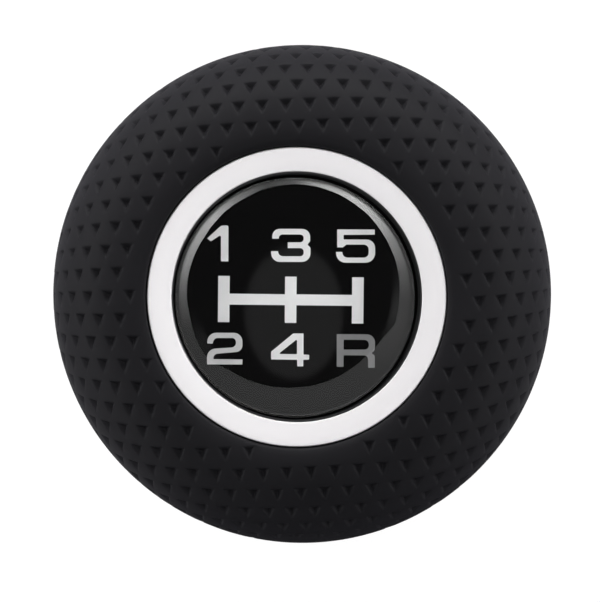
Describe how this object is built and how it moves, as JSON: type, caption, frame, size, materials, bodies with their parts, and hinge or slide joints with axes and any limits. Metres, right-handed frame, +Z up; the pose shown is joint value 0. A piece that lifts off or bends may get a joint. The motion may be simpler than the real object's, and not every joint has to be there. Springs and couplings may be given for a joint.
{
  "type": "gear shift knob",
  "caption": "Round gear shift knob with a pitted soft grip, a flat satin ring round a domed shift-pattern emblem, and a neck with a threaded socket for the lever.",
  "frame": {"origin": "centre of the base, where the neck's flat lower end stands", "axes": "+Z up along the lever's axis, towards the emblem; +Y towards the top of the shift pattern; +X towards its right"},
  "size_m": [0.05, 0.05, 0.054],
  "materials": {
    "grip": "matte, fine grain",
    "ring": "satin, turned",
    "tape": "matte",
    "lens": "clear, polished",
    "print": "silver ink",
    "plate": "gloss black",
    "foam": "closed-cell foam",
    "core": "moulded, glass filled",
    "steel": "zinc plated",
    "brass": "turned",
    "damping": "matte",
    "collar": "satin moulded"
  },
  "bodies": {
    "root": {"grip_cover": "grip", "trim_ring": "ring", "ring_tape": "tape", "lens_dome": "lens", "gate_marks": "print", "emblem_plate": "plate", "emblem_pad": "foam", "core_cap": "core", "core_body": "core", "cap_screws": "steel", "counterweight": "steel", "foam_ring": "foam", "thread_bush": "brass", "damping_sleeve": "damping", "stop_pad": "damping", "snap_ring": "steel", "neck_collar": "collar"}
  },
  "joints": []
}
